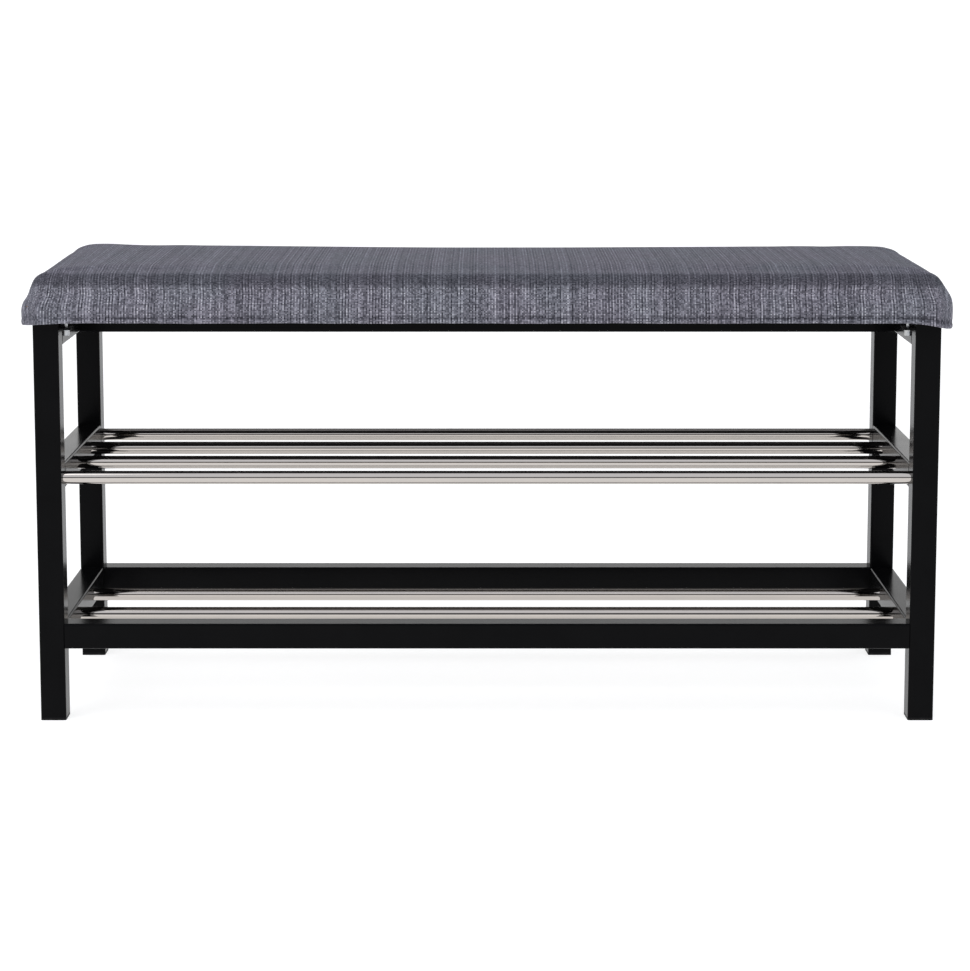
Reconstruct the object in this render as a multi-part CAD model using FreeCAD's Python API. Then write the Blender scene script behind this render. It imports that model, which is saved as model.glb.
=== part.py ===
import FreeCAD, Part
import os

from FreeCAD import Placement, Rotation, Vector

# Entryway bench: two welded end frames of square tube, joined by bolted rails and chromed shelf
# tubes, with a padded seat screwed on top. Millimetres. +X runs along the bench, -Y is its front,
# +Z is up. The origin is on the floor, under the middle of the seat.

# frame
frame_length = 880.0
frame_depth = 280.0
frame_height = 395.0
tube_side = 25.0
tube_wall = 1.2
tube_corner = 2.0
lower_rail_height = 72.0  # floor to the underside of the lower shelf's rails
upper_rail_height = 228.5  # floor to the underside of the upper shelf's side rails

# round shelf tubes
shelf_tube_diameter = 13.0
shelf_tube_wall = 1.0
shelf_tube_rows = 4  # rows from front to back; the outer two are held by the legs

# foot glides
glide_thickness = 2.5
glide_plug_height = 14.0
glide_plug_wall = 1.8
plug_clearance = 0.1

# bolts and threaded inserts that hold the rails and the shelf tubes
bolt_diameter = 6.0
bolt_reach = 13.0  # how far a bolt goes into the rail or tube that it holds
bolt_head_diameter = 10.5
bolt_head_height = 3.0
bolt_dome_edge = 1.1
hex_socket = 4.0
hex_socket_depth = 1.8
bolt_hole_clearance = 0.3
thread_clearance = 0.05
insert_length = 16.0
insert_clearance = 0.05

# holes in the outer walls, where the bolts go in, and the flush plugs that close them
access_diameter = 12.0
hole_plug_depth = 6.0
hole_plug_wall = 1.2
hole_plug_ridge = 0.3  # how far the snap ridge stands out behind the tube's wall
hole_plug_ridge_width = 0.8
hole_plug_clearance = 0.05

# seat
seat_overhang = 10.0  # how far the seat stands out past the frame all round
seat_thickness = 50.0
board_thickness = 15.0
cover_thickness = 1.2
seat_corner = 14.0
seat_top_radius = 13.0
hem_width = 52.0
dust_cloth_thickness = 0.6
dust_cloth_inset = 15.0

# seat tabs, screws and tee nuts
tab_thickness = 2.0
tab_drop = 7.5  # top of the frame to the underside of a tab
tab_reach = 12.0
tab_margin = 2.0  # a tab is narrower than its leg by this much on each side
tab_corner = 4.0
screw_diameter = 4.0
screw_offset = 5.5  # inner face of a leg to the screw's axis
screw_hole_clearance = 0.4
screw_head_diameter = 7.5
screw_head_height = 4.0
screw_socket = 3.0
screw_socket_depth = 2.2
washer_diameter = 9.5
washer_thickness = 1.0
spring_washer_diameter = 7.4
spring_washer_thickness = 1.2
spring_washer_gap = 1.2
tee_flange_diameter = 15.0
tee_flange_thickness = 1.2
tee_barrel_diameter = 5.8
tee_barrel_length = 9.0
tee_clearance = 0.1

# staples
staple_spacing = 48.0
staple_margin = 8.0  # inner face of the frame to the row of staples
staple_crown = 10.0
staple_wire = 0.7
staple_leg = 6.0

half_length = frame_length / 2
half_depth = frame_depth / 2
half_tube = tube_side / 2
bore_side = tube_side - 2 * tube_wall
bore_corner = tube_corner - tube_wall
inner_half = half_length - tube_side
leg_x = half_length - half_tube
leg_y = half_depth - half_tube
top_rail_z = frame_height - half_tube
upper_z = upper_rail_height + half_tube
lower_z = lower_rail_height + half_tube
row_pitch = 2 * leg_y / (shelf_tube_rows - 1)
shelf_bore = shelf_tube_diameter - 2 * shelf_tube_wall

hem_bottom = frame_height + dust_cloth_thickness
board_bottom = hem_bottom + cover_thickness
board_top = board_bottom + board_thickness
seat_height = frame_height + seat_thickness
foam_top = seat_height - cover_thickness
seat_length = frame_length + 2 * seat_overhang
seat_depth = frame_depth + 2 * seat_overhang

tab_bottom = frame_height - tab_drop
tab_width = tube_side - 2 * tab_margin
screw_x = inner_half - screw_offset
staple_x = inner_half - staple_margin
staple_y = half_depth - tube_side - staple_margin

x_axis = Vector(1, 0, 0)
y_axis = Vector(0, 1, 0)
z_axis = Vector(0, 0, 1)
overrun = 1.0  # how far a cutting tool runs past a face
near = 0.01  # edges closer than this to a place are taken as lying on it

sides = {"left": -1, "right": 1}
ends = {"front": -1, "rear": 1}


def save(name, shape):
    shape.exportStep("parts/" + name + ".step")


def box(x_size, y_size, z_size, x, y, z):
    """A block centred on x and y, standing on z."""
    return Part.makeBox(x_size, y_size, z_size, Vector(x - x_size / 2, y - y_size / 2, z))


def rounded_block(x_size, y_size, z_size, x, y, z, corner):
    """A block with its four upright edges rounded."""
    block = box(x_size, y_size, z_size, x, y, z)
    upright = [e for e in block.Edges if abs(e.Vertexes[0].Z - e.Vertexes[1].Z) > z_size / 2]
    return block.makeFillet(corner, upright)


def rod(diameter, start, direction, length):
    return Part.makeCylinder(diameter / 2, length, start, direction)


def stand_along(shape, start, direction):
    """Turn a shape that was made upright at the origin so that it runs from start."""
    placed = shape.copy()
    placed.Placement = Placement(start, Rotation(z_axis, direction))
    return placed


def square_tube(start, direction, length):
    outside = rounded_block(tube_side, tube_side, length, 0, 0, 0, tube_corner)
    inside_length = length + 2 * overrun
    inside = rounded_block(bore_side, bore_side, inside_length, 0, 0, -overrun, bore_corner)
    return stand_along(outside.cut(inside), start, direction)


def hexagon(across_flats, start, direction, depth):
    prism = Part.makePolygon(hexagon_points(across_flats))
    return stand_along(Part.Face(prism).extrude(z_axis * depth), start, direction)


def hexagon_points(across_flats):
    corner = Vector(across_flats / 3 ** 0.5, 0, 0)
    return [Rotation(z_axis, 60 * turn).multVec(corner) for turn in range(7)]


def bolt_hole(y, z, side):
    """A clearance hole for one bolt, through the inner wall of the end frame on that side."""
    start = Vector(side * (inner_half - overrun), y, z)
    diameter = bolt_diameter + bolt_hole_clearance
    return rod(diameter, start, x_axis * side, tube_wall + 2 * overrun)


def access_hole(y, z, side):
    """A wider hole through the outer wall, where the bolt's head goes in."""
    start = Vector(side * (half_length + overrun), y, z)
    return rod(access_diameter, start, x_axis * -side, tube_wall + 2 * overrun)


def drilled(tube, holes):
    for place in holes:
        tube = tube.cut(bolt_hole(*place)).cut(access_hole(*place))
    return tube


def row_y(row):
    return -leg_y + row * row_pitch


# Every place on one end frame where a bolt goes through the inner wall, as (y, z).
upper_tube_places = [(row_y(row), upper_z) for row in range(shelf_tube_rows)]
lower_tube_places = [(row_y(row), lower_z) for row in range(1, shelf_tube_rows - 1)]
shelf_tube_places = upper_tube_places + lower_tube_places
long_rail_places = [(-leg_y, lower_z), (leg_y, lower_z), (0.0, top_rail_z)]


def leg(side, end):
    start = Vector(side * leg_x, end * leg_y, glide_thickness)
    tube = square_tube(start, z_axis, frame_height - glide_thickness)
    return drilled(tube, [(end * leg_y, upper_z, side), (end * leg_y, lower_z, side)])


def side_rail(side, z, hole_rows):
    start = Vector(side * leg_x, -(half_depth - tube_side), z)
    tube = square_tube(start, y_axis, frame_depth - 2 * tube_side)
    return drilled(tube, [(y, z, side) for y in hole_rows])


def long_rail(y, z):
    """A rail from end frame to end frame, open at both ends for its inserts."""
    return square_tube(Vector(-inner_half, y, z), x_axis, 2 * inner_half)


def shelf_tube(y, z):
    start = Vector(-inner_half, y, z)
    outside = rod(shelf_tube_diameter, start, x_axis, 2 * inner_half)
    over = x_axis * overrun
    return outside.cut(rod(shelf_bore, start - over, x_axis, 2 * (inner_half + overrun)))


def threaded_bore(x, y, z, side):
    start = Vector(x + side * overrun, y, z)
    diameter = bolt_diameter + 2 * thread_clearance
    return rod(diameter, start, x_axis * -side, insert_length + 2 * overrun)


def shelf_tube_insert(y, z, side):
    """A round plug with a threaded hole, pressed flush into the end of a shelf tube."""
    x = side * inner_half
    plug = rod(shelf_bore - 2 * insert_clearance, Vector(x, y, z), x_axis * -side, insert_length)
    return plug.cut(threaded_bore(x, y, z, side))


def long_rail_insert(y, z, side):
    """A square plug with a threaded hole, pressed flush into the end of a long rail."""
    x = side * inner_half
    plug_side = bore_side - 2 * insert_clearance
    upright = rounded_block(plug_side, plug_side, insert_length, 0, 0, 0, bore_corner)
    plug = stand_along(upright, Vector(x, y, z), x_axis * -side)
    return plug.cut(threaded_bore(x, y, z, side))


def frame_bolt(y, z, side):
    """A button-head bolt, its head inside the end frame's tube, on the inner wall."""
    face = Vector(side * (inner_half + tube_wall), y, z)
    outward = x_axis * side
    head = Part.makeCylinder(bolt_head_diameter / 2, bolt_head_height)
    head = head.makeFillet(bolt_head_height - bolt_dome_edge, [top_rim(head)])
    head = stand_along(head, face, outward)
    shank = rod(bolt_diameter, face, outward * -1, tube_wall + bolt_reach)
    socket_start = face + outward * (bolt_head_height - hex_socket_depth)
    socket = hexagon(hex_socket, socket_start, outward, hex_socket_depth + overrun)
    return head.fuse(shank).cut(socket).removeSplitter()


def hole_plug(y, z, side):
    """A hollow plug, flush with the outer face, whose ridge snaps in behind the wall."""
    face = Vector(side * half_length, y, z)
    inward = x_axis * -side
    diameter = access_diameter - 2 * hole_plug_clearance
    body = rod(diameter, face, inward, hole_plug_depth)
    ridge_start = face + inward * (tube_wall + hole_plug_clearance)
    ridge_diameter = access_diameter + 2 * hole_plug_ridge
    ridge = rod(ridge_diameter, ridge_start, inward, hole_plug_ridge_width)
    hollow_start = face + inward * hole_plug_wall
    hollow = rod(diameter - 2 * hole_plug_wall, hollow_start, inward, hole_plug_depth)
    return body.fuse(ridge).cut(hollow).removeSplitter()


def top_rim(cylinder):
    """The round edge at the high end of an upright cylinder."""
    rounds = [e for e in cylinder.Edges if len(e.Vertexes) == 1]
    return max(rounds, key=lambda e: e.CenterOfMass.z)


def foot_glide(side, end):
    """A thin pad under a leg, with a hollow plug that grips the inside of the tube."""
    x = side * leg_x
    y = end * leg_y
    pad = rounded_block(tube_side, tube_side, glide_thickness, x, y, 0, tube_corner)
    plug_side = bore_side - 2 * plug_clearance
    height = glide_thickness + glide_plug_height
    plug = rounded_block(plug_side, plug_side, height, x, y, 0, bore_corner)
    hollow = plug_side - 2 * glide_plug_wall
    inside = box(hollow, hollow, glide_plug_height + overrun, x, y, glide_thickness)
    return pad.fuse(plug).cut(inside).removeSplitter()


def seat_block(inset, bottom, top):
    """The seat's outline, drawn in by inset, as an upright block."""
    length = seat_length - 2 * inset
    depth = seat_depth - 2 * inset
    return rounded_block(length, depth, top - bottom, 0, 0, bottom, seat_corner - inset)


def soft_block(inset, bottom, top):
    """The same block with its top edge rounded over all round."""
    block = seat_block(inset, bottom, top)
    rim = [e for e in block.Edges if abs(e.CenterOfMass.z - top) < near]
    return block.makeFillet(seat_top_radius - inset, rim)


def seat_cover():
    """The fabric skin, with a hem turned in under the board."""
    outside = soft_block(0, hem_bottom, seat_height)
    inside = soft_block(cover_thickness, board_bottom, foam_top)
    window_length = seat_length - 2 * hem_width
    window_depth = seat_depth - 2 * hem_width
    window_z = hem_bottom - overrun
    window = box(window_length, window_depth, cover_thickness + 2 * overrun, 0, 0, window_z)
    return outside.cut(inside).cut(window)


def seat_foam():
    return soft_block(cover_thickness, board_top, foam_top)


def screw_places():
    return [(side * screw_x, end * leg_y) for side in sides.values() for end in ends.values()]


def screw_hole(x, y, z, depth):
    return rod(screw_diameter + 2 * screw_hole_clearance, Vector(x, y, z), z_axis, depth)


def tee_nut(x, y):
    """A flange let into the top of the board, and a threaded barrel below it."""
    barrel_z = board_top - tee_barrel_length
    barrel = rod(tee_barrel_diameter, Vector(x, y, barrel_z), z_axis, tee_barrel_length)
    flange_z = board_top - tee_flange_thickness
    flange = rod(tee_flange_diameter, Vector(x, y, flange_z), z_axis, tee_flange_thickness)
    bore_start = Vector(x, y, barrel_z - overrun)
    bore_length = tee_barrel_length + 2 * overrun
    bore = rod(screw_diameter + 2 * thread_clearance, bore_start, z_axis, bore_length)
    return barrel.fuse(flange).cut(bore).removeSplitter()


def tee_nut_seat(x, y):
    """The stepped hole in the board that a tee nut and its screw go into."""
    barrel_z = board_top - tee_barrel_length - tee_clearance
    barrel_hole = tee_barrel_diameter + 2 * tee_clearance
    barrel = rod(barrel_hole, Vector(x, y, barrel_z), z_axis, board_top - barrel_z + overrun)
    flange_z = board_top - tee_flange_thickness
    flange_hole = tee_flange_diameter + 2 * tee_clearance
    flange = rod(flange_hole, Vector(x, y, flange_z), z_axis, tee_flange_thickness + overrun)
    passage = screw_hole(x, y, board_bottom - overrun, board_thickness)
    return barrel.fuse(flange).fuse(passage)


def seat_board():
    board = seat_block(cover_thickness, board_bottom, board_top)
    for x, y in screw_places():
        board = board.cut(tee_nut_seat(x, y))
    return board


def with_screw_holes(sheet, z, thickness):
    for x, y in screw_places():
        sheet = sheet.cut(screw_hole(x, y, z - overrun, thickness + 2 * overrun))
    return sheet


def seat_dust_cloth():
    """The thin non-woven sheet that closes the underside of the seat."""
    length = seat_length - 2 * dust_cloth_inset
    depth = seat_depth - 2 * dust_cloth_inset
    sheet = box(length, depth, dust_cloth_thickness, 0, 0, frame_height)
    return with_screw_holes(sheet, frame_height, dust_cloth_thickness)


def seat_tab(side, end):
    """A small plate on the inner face of a leg, with the hole for a seat screw."""
    outer_x = side * inner_half
    y = end * leg_y
    plate = box(tab_reach, tab_width, tab_thickness, outer_x - side * tab_reach / 2, y, tab_bottom)
    free_x = outer_x - side * tab_reach
    upright = [e for e in plate.Edges if is_upright_at(e, free_x)]
    plate = plate.makeFillet(tab_corner, upright)
    hole = screw_hole(side * screw_x, y, tab_bottom - overrun, tab_thickness + 2 * overrun)
    return plate.cut(hole)


def is_upright_at(edge, x):
    low, high = edge.Vertexes[0], edge.Vertexes[1]
    return abs(low.X - x) < near and abs(high.X - x) < near and abs(low.Y - high.Y) < near


washer_z = tab_bottom - washer_thickness
spring_washer_z = washer_z - spring_washer_thickness
head_top = spring_washer_z
screw_top = board_top - tee_flange_thickness


def seat_screw(x, y):
    """A socket-head screw, driven up through a tab into a tee nut."""
    head_z = head_top - screw_head_height
    head = rod(screw_head_diameter, Vector(x, y, head_z), z_axis, screw_head_height)
    shank = rod(screw_diameter, Vector(x, y, head_top), z_axis, screw_top - head_top)
    socket_start = Vector(x, y, head_z - overrun)
    socket = hexagon(screw_socket, socket_start, z_axis, screw_socket_depth + overrun)
    return head.fuse(shank).cut(socket).removeSplitter()


def seat_washer(x, y):
    washer = rod(washer_diameter, Vector(x, y, washer_z), z_axis, washer_thickness)
    return washer.cut(screw_hole(x, y, washer_z - overrun, washer_thickness + 2 * overrun))


def seat_spring_washer(x, y):
    """A split ring; its gap faces the middle of the bench."""
    thickness = spring_washer_thickness
    ring = rod(spring_washer_diameter, Vector(x, y, spring_washer_z), z_axis, thickness)
    ring = ring.cut(screw_hole(x, y, spring_washer_z - overrun, thickness + 2 * overrun))
    inward = -1 if x > 0 else 1
    reach = spring_washer_diameter
    slot_x = x + inward * reach / 2
    slot_z = spring_washer_z - overrun
    return ring.cut(box(reach, spring_washer_gap, thickness + 2 * overrun, slot_x, y, slot_z))


def staple(x, y, along):
    """A staple up into the board, with its crown flat under the dust cloth."""
    crown_z = frame_height - staple_wire
    if along == "x":
        crown_size = (staple_crown, staple_wire)
        reach = (staple_crown - staple_wire) / 2
        offsets = [(-reach, 0.0), (reach, 0.0)]
    else:
        crown_size = (staple_wire, staple_crown)
        reach = (staple_crown - staple_wire) / 2
        offsets = [(0.0, -reach), (0.0, reach)]
    shape = box(crown_size[0], crown_size[1], staple_wire, x, y, crown_z)
    for dx, dy in offsets:
        shape = shape.fuse(box(staple_wire, staple_wire, staple_leg, x + dx, y + dy, crown_z))
    return shape.removeSplitter()


def spread(low, high, spacing):
    """Evenly spaced places from low to high, about a spacing apart."""
    count = max(1, round((high - low) / spacing))
    return [low + (high - low) * step / count for step in range(count + 1)]


def seat_staples():
    """A row along each side of the frame's opening, clear of its corners and the centre rail."""
    last_x = staple_x - staple_crown
    last_y = staple_y - staple_crown
    along_x = spread(-last_x, last_x, staple_spacing)
    behind_rail = spread(half_tube + staple_margin, last_y, staple_spacing)
    along_y = behind_rail + [-y for y in behind_rail]
    front_and_back = [staple(x, end * staple_y, "x") for x in along_x for end in ends.values()]
    at_sides = [staple(side * staple_x, y, "y") for y in along_y for side in sides.values()]
    return front_and_back + at_sides


def save_group(name, solids):
    save(name, Part.makeCompound(solids))


os.makedirs("parts", exist_ok=True)

rail_levels = {
    "top_side_rail": (top_rail_z, [0.0]),
    "upper_shelf_side_rail": (upper_z, [row_y(row) for row in range(1, shelf_tube_rows - 1)]),
    "lower_shelf_side_rail": (lower_z, [row_y(row) for row in range(1, shelf_tube_rows - 1)]),
}

for side_name, side in sides.items():
    for level_name, (level_z, hole_rows) in rail_levels.items():
        save(level_name + "_" + side_name, side_rail(side, level_z, hole_rows))
    for end_name, end in ends.items():
        corner_name = end_name + "_" + side_name
        save("leg_" + corner_name, leg(side, end))
        save("foot_glide_" + corner_name, foot_glide(side, end))
        save("seat_tab_" + corner_name, seat_tab(side, end))

save("top_centre_rail", long_rail(0.0, top_rail_z))
save("lower_front_rail", long_rail(-leg_y, lower_z))
save("lower_rear_rail", long_rail(leg_y, lower_z))

for row, (y, z) in enumerate(upper_tube_places):
    save("upper_shelf_tube_" + str(row + 1), shelf_tube(y, z))
for row, (y, z) in enumerate(lower_tube_places):
    save("lower_shelf_tube_" + str(row + 1), shelf_tube(y, z))

both = list(sides.values())
tube_ends = [(y, z, side) for y, z in shelf_tube_places for side in both]
rail_ends = [(y, z, side) for y, z in long_rail_places for side in both]
save_group("shelf_tube_inserts", [shelf_tube_insert(*place) for place in tube_ends])
save_group("shelf_tube_bolts", [frame_bolt(*place) for place in tube_ends])
save_group("rail_inserts", [long_rail_insert(*place) for place in rail_ends])
save_group("rail_bolts", [frame_bolt(*place) for place in rail_ends])
save_group("bolt_hole_plugs", [hole_plug(*place) for place in tube_ends + rail_ends])

# The staples pierce the dust cloth, the hem and the board, so each is cut to their shape.
staples = Part.makeCompound(seat_staples())
cover = with_screw_holes(seat_cover(), hem_bottom, cover_thickness)
save("seat_cover", cover.cut(staples))
save("seat_foam", seat_foam())
save("seat_board", seat_board().cut(staples))
save("seat_dust_cloth", seat_dust_cloth().cut(staples))
save("seat_staples", staples)
save_group("seat_tee_nuts", [tee_nut(x, y) for x, y in screw_places()])
save_group("seat_screws", [seat_screw(x, y) for x, y in screw_places()])
save_group("seat_screw_washers", [seat_washer(x, y) for x, y in screw_places()])
save_group("seat_spring_washers", [seat_spring_washer(x, y) for x, y in screw_places()])
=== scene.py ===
import math

import bpy
import numpy as np
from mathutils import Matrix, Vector


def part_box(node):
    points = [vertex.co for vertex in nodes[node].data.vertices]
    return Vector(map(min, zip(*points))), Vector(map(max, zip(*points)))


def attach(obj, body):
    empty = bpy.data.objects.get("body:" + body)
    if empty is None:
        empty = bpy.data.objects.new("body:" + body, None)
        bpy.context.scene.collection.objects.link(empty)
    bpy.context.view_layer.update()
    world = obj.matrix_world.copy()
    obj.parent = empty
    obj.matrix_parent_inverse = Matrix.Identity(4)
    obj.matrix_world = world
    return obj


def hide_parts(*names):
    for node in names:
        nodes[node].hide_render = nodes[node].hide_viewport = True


# Entryway bench: the frame comes from the CAD with its real finishes, and the upholstery,
# the dust cloth and the weld beads are made here. Metres, +Z up, the front faces -Y.

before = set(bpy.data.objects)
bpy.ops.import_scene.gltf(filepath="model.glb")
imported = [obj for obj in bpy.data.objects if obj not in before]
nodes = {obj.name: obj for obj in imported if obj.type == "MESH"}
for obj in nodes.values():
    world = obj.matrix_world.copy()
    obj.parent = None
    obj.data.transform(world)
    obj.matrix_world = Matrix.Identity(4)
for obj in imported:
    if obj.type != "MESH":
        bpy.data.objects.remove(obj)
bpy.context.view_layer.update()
scene = bpy.context.scene
mm = 0.001


class Signal:
    # a node's socket in an expression: each operator adds the Math node of its name

    def __init__(self, finish, socket):
        self.finish = finish
        self.socket = socket

    def maths(self, operation, *values):
        return self.finish.node("Math", {"operation": operation}, dict(enumerate(values)))

    def sibling(self, output):
        return Signal(self.finish, self.socket.node.outputs[output])

    def __add__(self, other):
        return self.maths("ADD", self, other)

    def __radd__(self, other):
        return self.maths("ADD", other, self)

    def __sub__(self, other):
        return self.maths("SUBTRACT", self, other)

    def __rsub__(self, other):
        return self.maths("SUBTRACT", other, self)

    def __mul__(self, other):
        return self.maths("MULTIPLY", self, other)

    def __rmul__(self, other):
        return self.maths("MULTIPLY", other, self)

    def __truediv__(self, other):
        return self.maths("DIVIDE", self, other)

    def __pow__(self, other):
        return self.maths("POWER", self, other)

    def floor(self):
        return self.maths("FLOOR", self)

    def fraction(self):
        return self.maths("FRACT", self)

    def sine(self):
        return self.maths("SINE", self)

    def between(self, low, high):
        # 0 below low, 1 above high and smooth in between
        return self.finish.node("MapRange", {"interpolation_type": "SMOOTHSTEP"},
                                {"Value": self, "From Min": low, "From Max": high})


class Finish:
    # one material: its shader's constant sockets, and the method that adds every other node

    def __init__(self, name, **constants):
        self.material = bpy.data.materials.new(name)
        self.material.use_nodes = True
        self.tree = self.material.node_tree
        self.shader = self.tree.nodes["Principled BSDF"]
        for label, value in constants.items():
            self.shader.inputs[label.replace("_", " ")].default_value = value

    def node(self, kind, settings=None, inputs=None, output=0):
        made = self.tree.nodes.new("ShaderNode" + kind)
        for label, value in (settings or {}).items():
            if label == "stops":
                self.setStops(made.color_ramp, value)
            else:
                setattr(made, label, value)
        for place, value in (inputs or {}).items():
            self.feed(made.inputs[place], value)
        return Signal(self, made.outputs[output])

    def setStops(self, ramp, stops):
        while len(ramp.elements) < len(stops):
            ramp.elements.new(1.0)
        for element, (position, colour) in zip(ramp.elements, stops):
            element.position = position
            element.color = (*colour, 1.0)

    def feed(self, socket, value):
        if isinstance(value, Signal):
            self.tree.links.new(value.socket, socket)
        else:
            socket.default_value = value

    def show(self, **links):
        # the signals that vary over the surface
        for label, signal in links.items():
            self.feed(self.shader.inputs[label.replace("_", " ")], signal)
        return self.material

    def place(self):
        return self.node("TexCoord", output=3)

    def clothPlace(self):
        return self.node("UVMap", {"uv_map": "cloth"})

    def painted(self, attribute):
        return self.node("Attribute", {"attribute_name": attribute}, output=2)

    def stretch(self, vector, factors):
        return self.node("VectorMath", {"operation": "MULTIPLY"}, {0: vector, 1: factors})

    def join(self, x, y, z=0.0):
        return self.node("CombineXYZ", inputs={0: x, 1: y, 2: z})

    def noise(self, vector, scale=1.0, detail=2.0, roughness=0.5):
        return self.node("TexNoise", inputs={"Vector": vector, "Scale": scale,
                                             "Detail": detail, "Roughness": roughness})

    def chance(self, vector):
        # an even random number for each whole-numbered place
        return self.node("TexWhiteNoise", {"noise_dimensions": "2D"}, {"Vector": vector})

    def mix(self, factor, first, second):
        first, second = [(*c, 1.0) if isinstance(c, tuple) else c for c in (first, second)]
        return self.node("Mix", {"data_type": "RGBA"}, {0: factor, 6: first, 7: second}, output=2)

    def tint(self, factor, colour):
        colour = (*colour, 1.0) if isinstance(colour, tuple) else colour
        return self.node("Mix", {"data_type": "RGBA", "blend_type": "MULTIPLY"},
                         {0: 1.0, 6: factor, 7: colour}, output=2)

    def ramp(self, factor, stops):
        return self.node("ValToRGB", {"stops": stops}, {"Fac": factor})

    def bump(self, height, strength, distance):
        return self.node("Bump", inputs={"Strength": strength, "Distance": distance,
                                         "Height": height})


powderLook = {
    "dark": (0.0018, 0.0018, 0.0021),
    "light": (0.0040, 0.0040, 0.0044),
    "peelSize": 620.0,  # the orange peel of sprayed powder, and the fine specks in it
    "speckSize": 2600.0,
    "roughness": 0.17,
    "depth": 0.05 * mm,
}


def powderCoat():
    look = powderLook
    finish = Finish("black_powder_coat", Specular_IOR_Level=0.05)
    place = finish.place()
    cloud = finish.noise(place, 30.0, 3.0)
    peel = finish.noise(place, look["peelSize"], 2.0)
    speck = finish.noise(place, look["speckSize"], 1.0)
    colour = finish.mix(cloud, look["dark"], look["light"])
    roughness = look["roughness"] + 0.06 * cloud + 0.03 * speck
    normal = finish.bump(peel + 0.3 * speck, 0.03, look["depth"])
    return finish.show(Base_Color=colour, Roughness=roughness, Normal=normal)


chromeLook = {
    "clear": (0.56, 0.515, 0.475),
    "hazy": (0.50, 0.47, 0.445),
    "buffing": (9.0, 900.0, 900.0),  # the marks run along the tubes, which lie along x
    "roughness": 0.03,
    "depth": 0.02 * mm,
}


def polishedChrome():
    look = chromeLook
    finish = Finish("polished_chrome", Metallic=1.0)
    place = finish.place()
    haze = finish.noise(place, 18.0, 3.0)
    buffing = finish.noise(finish.stretch(place, look["buffing"]), 1.0, 3.0, 0.6)
    colour = finish.mix(haze, look["clear"], look["hazy"])
    roughness = look["roughness"] + 0.05 * haze * buffing
    normal = finish.bump(buffing, 0.006, look["depth"])
    return finish.show(Base_Color=colour, Roughness=roughness, Normal=normal)


zincLook = {
    "stainSize": 240.0,
    "grainSize": 2800.0,
    "tones": [(0.30, (0.42, 0.44, 0.47)), (0.52, (0.58, 0.59, 0.60)),
              (0.75, (0.62, 0.60, 0.54))],
    "roughness": 0.24,
    "depth": 0.03 * mm,
}


def zincPlate():
    look = zincLook
    finish = Finish("bright_zinc_plate", Metallic=1.0)
    place = finish.place()
    stain = finish.noise(place, look["stainSize"], 3.0, 0.6)
    grain = finish.noise(place, look["grainSize"], 2.0)
    colour = finish.ramp(stain, look["tones"])
    roughness = look["roughness"] + 0.22 * grain
    normal = finish.bump(grain, 0.12, look["depth"])
    return finish.show(Base_Color=colour, Roughness=roughness, Normal=normal)


plasticLook = {
    "clean": (0.004, 0.004, 0.0045),
    "scuffed": (0.012, 0.012, 0.013),
    "grainSize": 3200.0,
    "scuffSize": 160.0,
    "roughness": 0.42,
    "depth": 0.04 * mm,
}


def mouldedPlastic():
    look = plasticLook
    finish = Finish("moulded_black_plastic", Specular_IOR_Level=0.12)
    place = finish.place()
    grain = finish.noise(place, look["grainSize"], 2.0)
    scuff = finish.noise(place, look["scuffSize"], 4.0, 0.65).between(0.52, 0.72)
    colour = finish.mix(scuff, look["clean"], look["scuffed"])
    roughness = look["roughness"] + 0.25 * grain
    normal = finish.bump(grain, 0.25, look["depth"])
    return finish.show(Base_Color=colour, Roughness=roughness, Normal=normal)


boardLook = {
    "flake": (260.0, 900.0, 2200.0),  # longest along x and thinnest through the board
    "tones": [(0.30, (0.16, 0.095, 0.05)), (0.55, (0.31, 0.20, 0.115)),
              (0.75, (0.45, 0.32, 0.20))],
    "roughness": 0.72,
    "depth": 0.15 * mm,
}


def fibreboard():
    look = boardLook
    finish = Finish("pressed_fibreboard", Specular_IOR_Level=0.15)
    place = finish.place()
    flake = finish.noise(finish.stretch(place, look["flake"]), 1.0, 4.0, 0.6)
    patch = finish.noise(place, 12.0, 2.0)
    colour = finish.ramp(0.75 * flake + 0.25 * patch, look["tones"])
    roughness = look["roughness"] + 0.2 * flake
    normal = finish.bump(flake, 0.3, look["depth"])
    return finish.show(Base_Color=colour, Roughness=roughness, Normal=normal)


nonWovenLook = {
    "dark": (0.006, 0.006, 0.007),
    "light": (0.040, 0.040, 0.043),
    "bonded": (0.012, 0.012, 0.013),
    "dotPitch": 1.7 * mm,  # the bonding dots stand in offset rows this far apart
    "fibre": 900.0,
    "depth": 0.15 * mm,
}


def nonWoven():
    look = nonWovenLook
    finish = Finish("black_non_woven", Specular_IOR_Level=0.1, Sheen_Weight=0.15)
    place = finish.place()
    x = finish.node("SeparateXYZ", inputs={0: place})
    y = x.sibling(1)
    turn = 2 * math.pi / look["dotPitch"]
    dots = ((x + y) * turn).sine() * ((x - y) * turn).sine()
    bonded = dots.between(0.25, 0.7)
    fibres = finish.noise(place, look["fibre"], 5.0, 0.75)
    cloud = finish.noise(place, 45.0, 3.0)
    colour = finish.mix(0.6 * fibres + 0.4 * cloud, look["dark"], look["light"])
    colour = finish.mix(0.5 * bonded, colour, look["bonded"])
    roughness = 0.95 - 0.25 * bonded
    normal = finish.bump(fibres - 0.6 * bonded, 0.5, look["depth"])
    return finish.show(Base_Color=colour, Roughness=roughness, Normal=normal)


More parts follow.
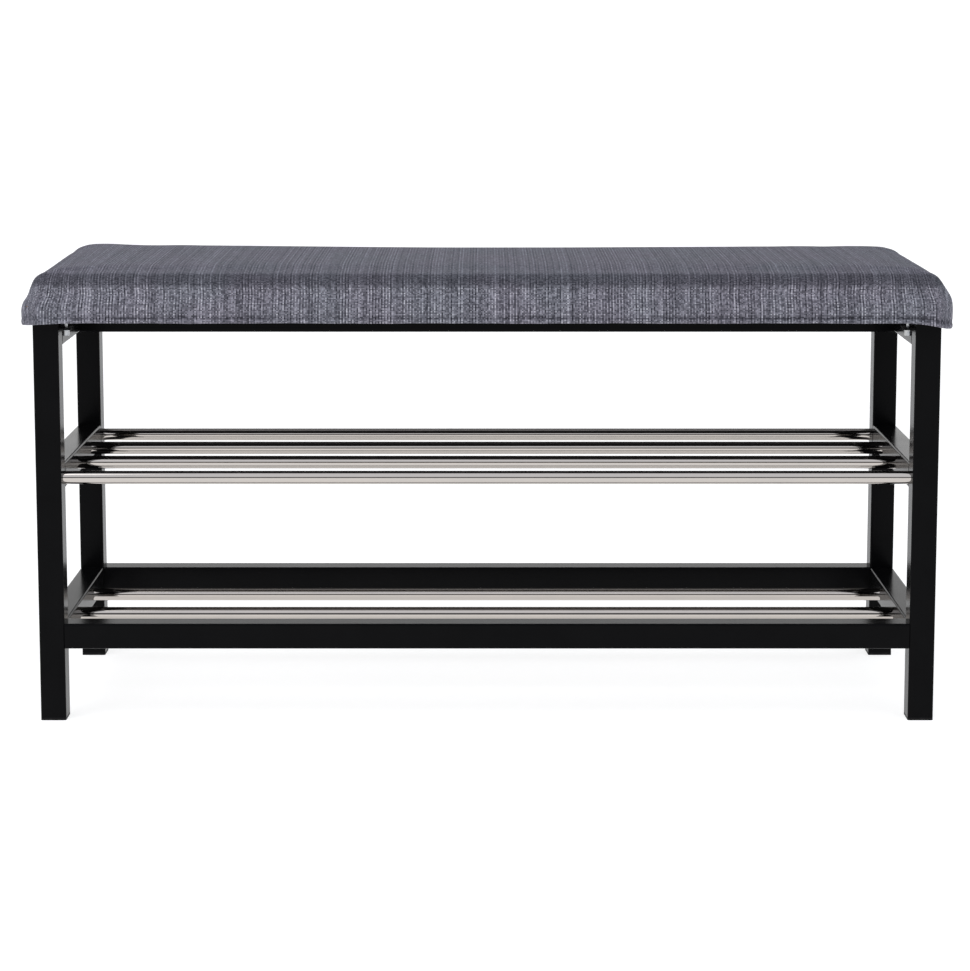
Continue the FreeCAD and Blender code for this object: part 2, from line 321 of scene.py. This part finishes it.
fabricLook = {
    "endPitch": 1.46 * mm,  # one warp yarn to the next; the warp runs from front to back
    "pickPitch": 1.32 * mm,  # one weft yarn to the next
    "slubLength": 36 * mm,
    "weftLength": 6 * mm,
    "bandWidth": 7 * mm,  # groups of paler and darker ends
    "hueSize": 90 * mm,
    "tones": [(0.00, (0.014, 0.0138, 0.018)), (0.28, (0.052, 0.0515, 0.062)),
              (0.50, (0.130, 0.128, 0.150)), (0.74, (0.290, 0.285, 0.325)),
              (1.00, (0.580, 0.575, 0.620))],
    "cool": (0.97, 1.00, 1.01),
    "plum": (1.01, 0.985, 1.02),
    "warp": {"mean": 0.57, "pale": 0.22, "end": 0.25, "slub": 0.44, "band": 0.16},
    "weft": {"mean": 0.48, "pick": 0.12, "slub": 0.50},
    "weftShows": 0.40,  # how much of a pick's tone shows where it lies on top
    "crossing": 0.38,
    "fibre": 0.20,
    # middle and fade make a painted sheen: the flat top's yarn contrast fades towards a middle tone,
    # as the sheen's veil does at a grazing view
    "middle": 0.46,  # the tone that the flat top fades towards, by this much
    "fade": 0.38,
    # darker is painted shade: a little over the flat top, more on the rounded top edge (rim) and in
    # the hem's groove and the flap's fold (crease)
    "darker": {"flat": 0.03, "rim": 0.33, "crease": 0.30},
    "depth": 0.35 * mm,
}


def melangeFabric():
    # a plain weave of one pale and one dark end by turns: at each crossing either the end or the
    # pick lies on top, and every yarn is paler and darker along its length, the ends in long
    # slubs and the picks in short ones; the tones run from 0 to 1
    finish = Finish("slate_melange_weave", Specular_IOR_Level=0.1, Sheen_Weight=0.08,
                    Sheen_Roughness=0.5, Sheen_Tint=(0.85, 0.86, 0.90, 1.0))
    look = fabricLook
    cloth = finish.clothPlace()
    across = finish.node("SeparateXYZ", inputs={0: cloth})
    along = across.sibling(1)
    endPlace = across / look["endPitch"]
    pickPlace = along / look["pickPitch"]
    endNumber = endPlace.floor()
    pickNumber = pickPlace.floor()
    pickOnTop = ((endNumber + pickNumber) * 0.5).fraction() * 2.0
    paleEnd = (endNumber * 0.5).fraction() * 2.0
    endTone = finish.chance(finish.join(endNumber, 3.0))
    pickTone = finish.chance(finish.join(pickNumber, 11.0))
    crossing = finish.chance(finish.join(endNumber, pickNumber))
    slub = finish.noise(finish.join(endNumber * 7.31, along / look["slubLength"]), 1.0, 2.0, 0.55)
    weftSlub = finish.noise(finish.join(across / look["weftLength"], pickNumber * 5.17), 1.0, 1.0)
    band = finish.noise(finish.join(across / look["bandWidth"], along / 0.4), 1.0, 2.0)
    share = look["warp"]
    warp = share["mean"] + share["pale"] * (paleEnd - 0.5) + share["end"] * (endTone - 0.5)
    warp = warp + share["slub"] * (slub - 0.5) + share["band"] * (band - 0.5)
    share = look["weft"]
    weft = share["mean"] + share["pick"] * (pickTone - 0.5) + share["slub"] * (weftSlub - 0.5)
    tone = warp + pickOnTop * look["weftShows"] * (weft - warp)
    tone = tone + look["crossing"] * (crossing - 0.5)
    fibre = finish.noise(finish.join(endPlace * 2.1, pickPlace * 1.3), 1.0, 2.0, 0.7)
    crownAcross = (endPlace.fraction() * math.pi).sine()
    crownAlong = (pickPlace.fraction() * math.pi).sine()
    crown = (crownAcross * crownAlong) ** 0.5
    # each yarn is painted paler on its crown and darker where it dips between its neighbours: painted
    # highlight and painted shade
    tone = tone * (0.80 + 0.26 * crown) + look["fibre"] * (fibre - 0.5)
    # the flat, rim and crease masks carry painted light: the top's contrast fades, a painted sheen,
    # and the top, the rounded top edge and the creases are painted darker, painted shade
    flat = finish.painted("flat")
    rim = finish.painted("rim")
    crease = finish.painted("crease")
    tone = look["middle"] + (tone - look["middle"]) * (1.0 - look["fade"] * flat)
    darker = look["darker"]
    tone = tone * (1.0 - darker["flat"] * flat - darker["rim"] * rim) - darker["crease"] * crease
    colour = finish.ramp(tone, look["tones"])
    hue = finish.noise(finish.join(across / look["hueSize"], along / look["hueSize"]), 1.0, 2.0)
    colour = finish.tint(colour, finish.mix(hue.between(0.36, 0.62), look["cool"], look["plum"]))
    roughness = 0.82 + 0.12 * fibre
    normal = finish.bump(crown + 0.35 * slub + 0.25 * fibre, 0.5, look["depth"])
    return finish.show(Base_Color=colour, Roughness=roughness, Normal=normal)


def paleFloor():
    # the little light of its own keeps the paper white, as a lit backdrop is
    finish = Finish("pale_floor", Specular_IOR_Level=0.1, Roughness=0.85,
                    Emission_Color=(1.0, 1.0, 1.0, 1.0), Emission_Strength=0.80)
    cloud = finish.noise(finish.place(), 1.3, 2.0)
    colour = finish.mix(cloud, (0.42, 0.42, 0.42), (0.45, 0.45, 0.45))
    return finish.show(Base_Color=colour)


finishes = {
    "frame_black": powderCoat(),
    "shelf_chrome": polishedChrome(),
    "zinc_hardware": zincPlate(),
    "black_plastic": mouldedPlastic(),
    "seat_board": fibreboard(),
    "dust_cloth": nonWoven(),
    "seat_fabric": melangeFabric(),
}
print("finishes made")

for node in nodes.values():
    for held in node.material_slots:
        if held.material.name in finishes:
            held.material = finishes[held.material.name]
print("finishes given to the frame's nodes")


def smooth(low, high, value):
    # 0 below low, 1 above high, and 3t^2 - 2t^3 in between
    t = np.clip((value - low) / (high - low), 0.0, 1.0)
    return t * t * (3.0 - 2.0 * t)


def hump(centre, width, value):
    # a bell that is 1 at centre and nearly 0 two widths away
    return np.exp(-(((value - centre) / width) ** 2))


def newPiece(name, points, faces, slotName):
    mesh = bpy.data.meshes.new(name)
    mesh.from_pydata(points.tolist(), [], faces if isinstance(faces, list) else faces.tolist())
    mesh.shade_smooth()
    piece = bpy.data.objects.new(name, mesh)
    scene.collection.objects.link(piece)
    mesh.materials.append(finishes[slotName])
    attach(piece, "root")
    return piece


def blockLattice(axes):
    # the points of a lattice that lie on its block's surface, and a quad on each outer cell
    lattice = np.stack(np.meshgrid(*axes, indexing="ij"), -1)
    steps = np.indices(lattice.shape[:3])
    last = [len(axis) - 1 for axis in axes]
    outer = np.any([(steps[k] == 0) | (steps[k] == last[k]) for k in range(3)], axis=0)
    number = np.cumsum(outer).reshape(outer.shape) - 1
    quads = []
    for k in range(3):
        for end in (0, last[k]):
            side = np.take(number, end, axis=k)
            quad = np.stack([side[:-1, :-1], side[1:, :-1], side[1:, 1:], side[:-1, 1:]], -1)
            quad = quad.reshape(-1, 4)
            inward = (end == 0) != (k == 1)
            quads.append(quad[:, ::-1] if inward else quad)
    return lattice[outer], np.concatenate(quads)


def roundedBlock(points, half, top, radii):
    # each point goes along its line from the core block's nearest point until its square shell
    # is a round one; the block's foot stays square to the floor
    core = np.clip(points, -(half - radii), half - radii)
    core[:, 2] = np.minimum(points[:, 2], top - radii[2])
    away = (points - core) / radii
    reach = np.linalg.norm(away, axis=1)
    squareReach = np.abs(away).max(axis=1)
    scale = np.where(reach > 0.0, squareReach / np.maximum(reach, 1e-9), 1.0)
    return core + radii * away * scale[:, None]


seatLow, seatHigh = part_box("seat_cover")
boardLow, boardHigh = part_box("seat_board")
onWall = 0.01 * mm  # a point nearer than this to the outline is on the cushion's wall

cushionLook = {
    "cell": 6 * mm,
    "edgeCell": 3 * mm,
    "edgeStrip": 36 * mm,  # how far the smaller cells reach in from the corners
    "rows": (6, 7),  # rows of cells beside the board and above it
    "cornerRadius": 15 * mm,
    "topRadius": 15 * mm,
    "lean": {"left": 7 * mm, "right": 7 * mm},  # how far an end leans in at its front corner
    "leanFrom": {"left": 10 * mm, "right": 22 * mm},  # the height where that begins
    "leanTo": 45 * mm,  # the height where it is full
    "leanReach": (8 * mm, 75 * mm),  # it fades over this stretch in from the end
    "hemWidth": 52 * mm,
    "startLower": 0.2 * mm,  # the block starts this much lower than the finished crown
    "lumps": 0.12,  # how uneven that is
    "mostSwell": 3.2 * mm,
    "pressure": 4.0,
    "frames": 20,
    "stitchHold": [(0.5 * mm, 1.0), (6 * mm, 0.6), (11 * mm, 0.25)],  # height above the board
    "cloth": {"quality": 6, "mass": 0.25, "tension_stiffness": 18.0, "compression_stiffness": 18.0,
              "shear_stiffness": 6.0, "bending_stiffness": 2.0},
    "waist": {"depth": 1.3 * mm, "aboveBoard": 11 * mm, "width": 9 * mm},
    "roll": 0.4 * mm,  # how far the rolled bottom edge stands out
    "rollHeight": 5.3 * mm,
    "groove": {"depth": 0.9 * mm, "width": 1.3 * mm, "shade": 1.2 * mm},
    "narrower": 0.2 * mm,
    "endRoom": 0.5 * mm,  # how far a fold at the ends may sink before it meets the board
    "droop": {"left": 2.2 * mm, "right": 6.0 * mm},  # how far the edge hangs lower at the corners
    "droopReach": (24 * mm, 45 * mm),  # along the front and along the end
    "sagging": 0.35 * mm,  # the bottom edge's waviness between the corners
    "edge": (7.5 * mm, 13 * mm),  # how far in and how far up the bottom edge's moves reach
    "rearRise": 1.2 * mm,  # of the top's rear edge over its left half
    "rearDrop": {"left": 1.8 * mm, "right": 3.2 * mm},  # of that edge at its corners
    "flap": {"thickness": 1.2 * mm, "edge": 9 * mm, "slant": 0.22, "top": (0.62, 0.78),
             "soften": 0.8 * mm, "fold": 0.6 * mm, "foldPlace": 0.9 * mm, "foldWidth": 1.0 * mm},
    "boardGap": 0.15 * mm,  # between the cushion's inside and the board
    "boardCorner": 13 * mm,
}


def evenSteps(half, look):
    # small cells near both ends and larger ones between
    edge = round(look["edgeStrip"] / look["edgeCell"])
    inner = half - look["edgeStrip"]
    middle = round(2 * inner / look["cell"])
    low = np.linspace(-half, -inner, edge + 1)
    return np.concatenate([low[:-1], np.linspace(-inner, inner, middle + 1), -low[::-1][1:]])


def waves(x, y):
    # slow and quick sines added up, between about -1 and 1
    slow = np.sin(23.0 * x + 31.0 * y + 1.3) + 0.6 * np.sin(57.0 * x - 41.0 * y + 0.4)
    return (slow + 0.4 * np.sin(131.0 * x + 97.0 * y + 2.0)) / 2.0


def bySide(pair, x):
    return np.where(x < 0.0, pair["left"], pair["right"])


def startShape(blank, half, bottom, top, look):
    # the rounded block, a little low and narrow, with walls that pull in above the board and
    # ends that lean in as they rise, most at their front corners
    radii = np.array([look["cornerRadius"], look["cornerRadius"], look["topRadius"]])
    points = roundedBlock(blank, half - np.array([look["narrower"], 0.0, 0.0]), top, radii)
    x, y, height = blank[:, 0], blank[:, 1], points[:, 2] - bottom
    most, start = [bySide(look[k], x) for k in ("lean", "leanFrom")]
    end = 1.0 - smooth(*look["leanReach"], half[0] - np.abs(x))
    end *= smooth(half[1], -half[1], y)
    points[:, 0] -= np.sign(x) * most * end * smooth(start, look["leanTo"], height)
    free = boardHigh.z - bottom
    waist = look["waist"]
    inward = waist["depth"] * hump(free + waist["aboveBoard"], waist["width"], height)
    points[:, :2] *= 1.0 - inward[:, None] / half[:2]
    lower = look["startLower"] * smooth(free, top - bottom, height)
    points[:, 2] -= lower * (1.0 + look["lumps"] * waves(points[:, 0], points[:, 1]))
    return points


def swell(piece, held, look):
    # the cloth is blown up from the start shape while the points at the board stay; each point
    # keeps its direction and moves less and less as it nears the most that is allowed
    start = readPoints(piece.data)
    group = piece.vertex_groups.new(name="held")
    for _, weight in look["stitchHold"]:
        chosen = np.nonzero(held == weight)[0]
        group.add(chosen.tolist(), weight, "REPLACE")
    cloth = piece.modifiers.new("swell", "CLOTH")
    settings = cloth.settings
    for label, value in look["cloth"].items():
        setattr(settings, label, value)
    settings.use_pressure = True
    settings.uniform_pressure_force = look["pressure"]
    settings.vertex_group_mass = "held"
    settings.effector_weights.gravity = 0.0
    cloth.collision_settings.use_collision = False
    cloth.point_cache.frame_start = 1
    cloth.point_cache.frame_end = look["frames"]
    for step in range(1, look["frames"] + 1):
        scene.frame_set(step)
    swollen = readPoints(piece.evaluated_get(bpy.context.evaluated_depsgraph_get()).data)
    piece.modifiers.remove(cloth)
    scene.frame_set(1)
    move = swollen - start
    length = np.linalg.norm(move, axis=1)[:, None]
    most = look["mostSwell"]
    return start + move * most * np.tanh(length / most) / np.maximum(length, 1e-9)


def readPoints(mesh):
    points = np.empty(len(mesh.vertices) * 3)
    mesh.vertices.foreach_get("co", points)
    return points.reshape(-1, 3)


def refined(name, points, quads, blank):
    # one subdivision, which carries each point's place on the unsewn block with it
    mesh = bpy.data.meshes.new(name)
    mesh.from_pydata(points.tolist(), [], quads.tolist())
    mesh.attributes.new("blank", "FLOAT_VECTOR", "POINT").data.foreach_set("vector", blank.ravel())
    coarse = bpy.data.objects.new(name, mesh)
    scene.collection.objects.link(coarse)
    finer = coarse.modifiers.new("finer", "SUBSURF")
    finer.levels = 1
    finer.render_levels = 1
    dense = coarse.evaluated_get(bpy.context.evaluated_depsgraph_get()).to_mesh()
    densePoints = readPoints(dense)
    denseBlank = np.empty(len(dense.vertices) * 3)
    dense.attributes["blank"].data.foreach_get("vector", denseBlank)
    denseQuads = np.empty(len(dense.loops), dtype=np.int32)
    dense.loops.foreach_get("vertex_index", denseQuads)
    coarse.to_mesh_clear()
    bpy.data.objects.remove(coarse)
    return densePoints, denseQuads.reshape(-1, 4), denseBlank.reshape(-1, 3)


def outlineAway(blank, half):
    # the outward direction in plan, and how far inside the outline a point lies
    radius = cushionLook["cornerRadius"]
    core = np.clip(blank[:, :2], -(half[:2] - radius), half[:2] - radius)
    away = blank[:, :2] - core
    length = np.linalg.norm(away, axis=1)[:, None]
    inside = (half[:2] - np.abs(blank[:, :2])).min(axis=1)
    return away / np.maximum(length, 1e-9), inside


def sewnDetail(points, blank, half, bottom, top, look):
    # the rolled bottom edge and its groove, the droop at the corners, and a folded flap on each
    # end beside the corner; all are small moves outward or down, added to the swollen shape
    away, inside = outlineAway(blank, half)
    height = blank[:, 2] - bottom
    wall = inside < onWall
    x, y = blank[:, 0], blank[:, 1]
    ripple = waves(1.7 * x, 1.7 * y)
    strength = np.clip(0.55 + 0.30 * smooth(0.0, 0.35, x) + 0.35 * waves(0.8 * x + 0.2, y), 0.0, 1.0)
    rollTop = look["rollHeight"] * (1.0 + 0.18 * ripple)
    roll = look["roll"] * hump(0.45 * rollTop, 0.5 * rollTop, height)
    groove = look["groove"]
    sunk = groove["depth"] * strength * hump(rollTop, groove["width"], height)
    outward = np.where(wall, roll - sunk, 0.0)
    # the crease mask paints the groove darker, painted shade
    crease = np.where(wall, strength * hump(rollTop, groove["shade"], height), 0.0)

    fromCorner = half[1] - np.abs(y)
    onEnd = wall & (np.abs(x) > half[0] - onWall)
    flap = look["flap"]
    flapEdge = flap["edge"] + flap["slant"] * height
    fade = 1.0 - smooth(flap["top"][0] * (top - bottom), flap["top"][1] * (top - bottom), height)
    overlap = 1.0 - smooth(-flap["soften"], flap["soften"], fromCorner - flapEdge)
    fold = hump(flapEdge + flap["foldPlace"], flap["foldWidth"], fromCorner)
    outward += np.where(onEnd, fade * (flap["thickness"] * overlap - flap["fold"] * fold), 0.0)
    outward = np.where(onEnd, np.maximum(outward, -look["endRoom"]), outward)
    # the flap's fold is painted darker too, painted shade
    crease = np.maximum(crease, np.where(onEnd, fade * fold, 0.0))

    moved = points.copy()
    moved[:, :2] += away * outward[:, None]
    edge = (1.0 - smooth(0.0, look["edge"][0], inside)) * (1.0 - smooth(0.0, look["edge"][1], height))
    reach = look["droopReach"]
    cornerNear = hump(0.0, reach[0], half[0] - np.abs(x)) * hump(0.0, reach[1], fromCorner)
    moved[:, 2] -= edge * (bySide(look["droop"], x) * cornerNear + look["sagging"] * (1.0 + ripple))
    rear = smooth(-0.1, 0.12, y) * smooth(0.5, 1.0, height / (top - bottom))
    moved[:, 2] += rear * (look["rearRise"] * smooth(0.0, 0.35, -x)
                           - look["rearDrop"]["left"] * smooth(0.40, 0.45, -x)
                           - look["rearDrop"]["right"] * smooth(0.37, 0.45, x))
    return moved, crease


def unrolled(blank, half, top):
    # where a point lies on the flat cloth: its plan place plus its way down the wall and in
    # under the board, both taken in the outward direction
    away, inside = outlineAway(blank, half)
    drop = top - blank[:, 2]
    under = np.where(drop > 0.999 * (top - blank[:, 2].min()), inside, 0.0)
    wallAway = np.where(inside[:, None] < onWall, away, 0.0)
    flat = blank[:, :2] + wallAway * drop[:, None]
    faceAway = nearestSide(blank, half)
    return np.where(under[:, None] > 0.0, blank[:, :2] + faceAway * (drop + 2 * under)[:, None], flat)


def nearestSide(blank, half):
    gap = half[:2] - np.abs(blank[:, :2])
    alongX = gap[:, 0] < gap[:, 1]
    side = np.sign(blank[:, :2])
    return np.where(np.stack([alongX, ~alongX], -1), side, 0.0)


def boardPocket(points, window, look):
    # from the hem's inner edge: up past the hem, out to the board, up beside it and across it
    gap = look["boardGap"]
    windowSize = np.abs(points[window, :2]).max(axis=0)
    angle = np.arctan2(points[window, 1] / windowSize[1], points[window, 0] / windowSize[0])
    ring = window[np.argsort(angle)]
    rim = points[ring]
    boardHalf = np.array([boardHigh.x + gap, boardHigh.y + gap, 1.0])
    spread = rim / np.append(windowSize, 1.0)
    radii = np.array([look["boardCorner"], look["boardCorner"], 1.0])
    boardRing = roundedBlock(spread * boardHalf, boardHalf, 2.0, radii)
    levels = []
    for ringPoints, z in ((rim, boardLow.z - gap), (boardRing, boardLow.z - gap),
                          (boardRing, boardHigh.z + gap)):
        level = ringPoints.copy()
        level[:, 2] = z
        levels.append(level)
    return ring, levels


def makeCushion():
    look = cushionLook
    half = np.array([seatHigh.x, seatHigh.y, 1.0])
    bottom, top = seatLow.z, seatHigh.z
    beside, above = look["rows"]
    levels = np.concatenate([np.linspace(bottom, boardHigh.z, beside + 1),
                             np.linspace(boardHigh.z, top, above + 1)[1:]])
    stepsX, stepsY = evenSteps(half[0], look), evenSteps(half[1], look)
    blank, quads = blockLattice([stepsX, stepsY, levels])

    # the underside is only the hem, so the quads inside its window go
    windowHalf = half[:2] - look["hemWidth"]
    windowHalf = np.array([stepsX[np.abs(stepsX - windowHalf[0]).argmin()],
                           stepsY[np.abs(stepsY - windowHalf[1]).argmin()]])
    centres = blank[quads].mean(axis=1)
    onFoot = bottom + 0.001 * mm
    inWindow = (np.abs(centres[:, :2]) < windowHalf).all(axis=1) & (centres[:, 2] < onFoot)
    quads = quads[~inWindow]
    used, quads = np.unique(quads, return_inverse=True)
    blank, quads = blank[used], quads.reshape(-1, 4)

    start = startShape(blank, half, bottom, top, look)
    held = np.select([start[:, 2] < boardHigh.z + height for height, _ in look["stitchHold"]],
                     [weight for _, weight in look["stitchHold"]], 0.0)
    block = newPiece("cushion_block", start, quads, "seat_fabric")
    swollen = swell(block, held, look)
    bpy.data.objects.remove(block)
    points, quads, blank = refined("cushion_refined", swollen, quads, blank)
    onWindow = (blank[:, 2] < onFoot) & (np.abs(blank[:, :2]) < windowHalf + onWall).all(axis=1)
    points, crease = sewnDetail(points, blank, half, bottom, top, look)
    ring, levels = boardPocket(points, np.nonzero(onWindow)[0], look)
    count, size = len(points), len(ring)
    rows = np.stack([ring] + [count + k * size + np.arange(size) for k in range(3)])
    ahead = np.roll(rows, -1, axis=1)
    strips = np.stack([rows[:-1], rows[1:], ahead[1:], ahead[:-1]], -1).reshape(-1, 4)
    allPoints = np.concatenate([points] + levels)
    faces = np.concatenate([quads, strips]).tolist() + [rows[-1][::-1].tolist()]
    cushion = newPiece("seat_cushion", allPoints, faces, "seat_fabric")

    places = np.zeros((len(allPoints), 2))
    places[:count] = unrolled(blank, half, top)
    corners = np.empty(len(cushion.data.loops), dtype=np.int32)
    cushion.data.loops.foreach_get("vertex_index", corners)
    layer = cushion.data.uv_layers.new(name="cloth")
    layer.uv.foreach_set("vector", places[corners].ravel())
    # masks for painted light on the cloth: rim is the rounded top edge, painted darker as painted
    # shade; flat is the top, whose yarn contrast fades as a painted sheen and which is painted a
    # little darker as painted shade
    slope = smooth(0.0, 6 * mm, blank[:, 2] - (top - look["topRadius"]))
    level = smooth(7 * mm, 12 * mm, outlineAway(blank, half)[1])
    rim = slope * (1.0 - level)
    flat = slope * level
    for label, values in (("rim", rim), ("flat", flat), ("crease", crease)):
        painted = np.zeros(len(allPoints))
        painted[:count] = values
        cushion.data.attributes.new(label, "FLOAT", "POINT").data.foreach_set("value", painted)
    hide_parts("seat_cover", "seat_foam")
    return cushion


cushion = makeCushion()
print("cushion made,", len(cushion.data.polygons), "faces")


dustClothLook = {
    "cell": 7 * mm,
    "sag": 1.5 * mm,
    "thickness": 0.4 * mm,
    "fromFrame": 16 * mm,  # it hangs free this far in from the side rails and the legs
    "fromRail": 8 * mm,
}


def makeDustCloth():
    # a flat sheet that sags in the two bays between the rails as a product of two sines
    look = dustClothLook
    low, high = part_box("seat_dust_cloth")
    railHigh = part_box("top_centre_rail")[1]
    openX = -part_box("top_side_rail_left")[1].x - look["fromFrame"]
    openY = -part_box("leg_front_left")[1].y - look["fromFrame"]
    stepsX = np.linspace(low.x, high.x, round((high.x - low.x) / look["cell"]) + 1)
    stepsY = np.linspace(low.y, high.y, round((high.y - low.y) / look["cell"]) + 1)
    x, y = np.meshgrid(stepsX, stepsY, indexing="ij")
    nearRail = railHigh.y + look["fromRail"]
    bay = np.clip((np.abs(y) - nearRail) / (openY - nearRail), 0.0, 1.0)
    reach = np.clip(1.0 - np.abs(x) / openX, 0.0, 1.0)
    sag = np.sin(math.pi * bay) * smooth(0.0, 0.25, reach) * (1.0 + 0.3 * waves(2 * x, 2 * y))
    z = (low.z + high.z) / 2 - look["sag"] * sag
    number = np.arange(x.size).reshape(x.shape)
    quads = np.stack([number[:-1, :-1], number[1:, :-1], number[1:, 1:], number[:-1, 1:]], -1)
    points = np.stack([x, y, z], -1).reshape(-1, 3)
    cloth = newPiece("seat_dust_cloth_sheet", points, quads.reshape(-1, 4), "dust_cloth")
    wall = cloth.modifiers.new("thickness", "SOLIDIFY")
    wall.thickness = look["thickness"]
    wall.offset = 0.0
    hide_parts("seat_dust_cloth")
    return cloth


makeDustCloth()
print("dust cloth made")


weldLook = {
    "radius": 1.3 * mm,
    "inset": 0.95 * mm,  # the bead's middle lies this far inside the rail's outline
    "squareness": 9.0,  # a superellipse of this power is the tube's outline with its corners
    "ripple": 1.7 * mm,
    "rippleDepth": 0.10,
    "along": 148,
    "around": 8,
}


def weldBead(name, low, high, y):
    # a round profile carried along the rail's outline, whose radius ripples as it goes
    look = weldLook
    centre = np.array([(low.x + high.x) / 2, y, (low.z + high.z) / 2])
    halfSide = (high.x - low.x) / 2 - look["inset"]
    turn = np.linspace(0.0, 2 * math.pi, look["along"], endpoint=False)[:, None]
    power = look["squareness"]
    size = (np.abs(np.cos(turn)) ** power + np.abs(np.sin(turn)) ** power) ** (-1 / power)
    wavesRound = round(8 * halfSide / look["ripple"])
    radius = look["radius"] * (1.0 + look["rippleDepth"] * np.sin(wavesRound * turn))
    around = np.linspace(0.0, 2 * math.pi, look["around"], endpoint=False)[None, :]
    outward = halfSide * size + radius * np.cos(around)
    x = outward * np.cos(turn)
    z = outward * np.sin(turn)
    side = radius * np.sin(around)
    points = np.stack([x, side, z], -1).reshape(-1, 3) + centre
    number = np.arange(look["along"] * look["around"]).reshape(look["along"], look["around"])
    ahead = np.roll(number, -1, axis=0)
    beside = np.roll(number, -1, axis=1)
    both = np.roll(ahead, -1, axis=1)
    quads = np.stack([number, beside, both, ahead], -1).reshape(-1, 4)
    return newPiece(name, points, quads, "frame_black")


for level in ("top", "upper_shelf", "lower_shelf"):
    for side in ("left", "right"):
        low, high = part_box(level + "_side_rail_" + side)
        weldBead("weld_" + level + "_front_" + side, low, high, low.y)
        weldBead("weld_" + level + "_rear_" + side, low, high, high.y)
print("weld beads made")


floorLook = {"radius": 14.0, "rings": 24, "spokes": 96}


def makeFloor():
    # rings of points round the origin, closer together near it
    look = floorLook
    reach = look["radius"] * (np.arange(1, look["rings"] + 1) / look["rings"])[:, None] ** 2
    turn = np.linspace(0.0, 2 * math.pi, look["spokes"], endpoint=False)[None, :]
    rings = np.stack([reach * np.cos(turn), reach * np.sin(turn), np.zeros_like(reach * turn)], -1)
    points = np.concatenate([np.zeros((1, 3)), rings.reshape(-1, 3)])
    number = 1 + np.arange(rings[..., 0].size).reshape(look["rings"], look["spokes"])
    ahead = np.roll(number, -1, axis=1)
    quads = np.stack([number[:-1], number[1:], ahead[1:], ahead[:-1]], -1).reshape(-1, 4)
    fan = np.stack([np.zeros_like(number[0]), number[0], ahead[0]], -1)
    mesh = bpy.data.meshes.new("floor")
    mesh.from_pydata(points.tolist(), [], quads.tolist() + fan.tolist())
    mesh.materials.append(paleFloor())
    floor = bpy.data.objects.new("floor", mesh)
    scene.collection.objects.link(floor)


keyLook = {
    "place": (-1.5, -1.1, 1.9),
    "target": (-0.1, 0.0, 0.3),
    "size": (1.5, 1.5),
    "power": 13.0,
}


def softBox(name, look):
    light = bpy.data.lights.new(name, "AREA")
    light.shape = "RECTANGLE"
    light.size, light.size_y = look["size"]
    light.energy = look["power"]
    lamp = bpy.data.objects.new(name, light)
    lamp.location = look["place"]
    aim = Vector(look["target"]) - Vector(look["place"])
    lamp.rotation_euler = aim.to_track_quat("-Z", "Y").to_euler()
    scene.collection.objects.link(lamp)


skyLook = {
    "backLow": (1.6, (1.0, 1.0, 1.0)),  # strength and colour
    "backHigh": (0.05, (1.0, 1.0, 1.0)),
    "frontHigh": (1.0, (0.95, 0.98, 1.045)),
    "frontLow": (0.06, (1.0, 1.0, 1.0)),
    "turnLow": (-0.60, -0.20),  # where it goes from front to back, as the direction's y
    "turnHigh": (0.12, 0.55),
    "lift": (0.13, 0.40),  # where the low part ends, as the direction's z
}


def studioSky():
    # a white sweep low down behind the bench and a bright ceiling over the camera;
    # dark low down behind the camera and high up behind the bench
    look = skyLook
    world = bpy.data.worlds.new("studio")
    world.use_nodes = True
    scene.world = world
    tree = world.node_tree
    towards = tree.nodes.new("ShaderNodeTexCoord")
    split = tree.nodes.new("ShaderNodeSeparateXYZ")
    tree.links.new(towards.outputs["Generated"], split.inputs[0])

    def blend(source, span, first, second):
        fade = tree.nodes.new("ShaderNodeMapRange")
        fade.interpolation_type = "SMOOTHSTEP"
        tree.links.new(source, fade.inputs["Value"])
        for label, value in zip(("From Min", "From Max"), span):
            fade.inputs[label].default_value = value
        mixed = tree.nodes.new("ShaderNodeMix")
        mixed.data_type = "RGBA"
        tree.links.new(fade.outputs[0], mixed.inputs[0])
        for number, value in ((6, first), (7, second)):
            if isinstance(value, tuple):
                mixed.inputs[number].default_value = (*(value[0] * c for c in value[1]), 1.0)
            else:
                tree.links.new(value, mixed.inputs[number])
        return mixed.outputs[2]

    low = blend(split.outputs[1], look["turnLow"], look["frontLow"], look["backLow"])
    high = blend(split.outputs[1], look["turnHigh"], look["frontHigh"], look["backHigh"])
    whole = blend(split.outputs[2], look["lift"], low, high)
    tree.links.new(whole, tree.nodes["Background"].inputs["Color"])


cameraLook = {
    "place": (-0.00195, -2.537, 0.686),
    "tilt": -7.09,  # degrees below level
    "lens": 92.58,
    "shift": -0.16,
}


def makeCamera():
    look = cameraLook
    camera = bpy.data.objects.new("camera", bpy.data.cameras.new("camera"))
    camera.location = look["place"]
    camera.rotation_euler = (math.radians(90 + look["tilt"]), 0.0, 0.0)
    camera.data.lens = look["lens"]
    camera.data.sensor_width = 36.0
    camera.data.shift_y = look["shift"]
    scene.collection.objects.link(camera)
    scene.camera = camera


makeFloor()
studioSky()
softBox("key", keyLook)
makeCamera()
scene.view_settings.view_transform = "Standard"
print("floor, light and camera made")
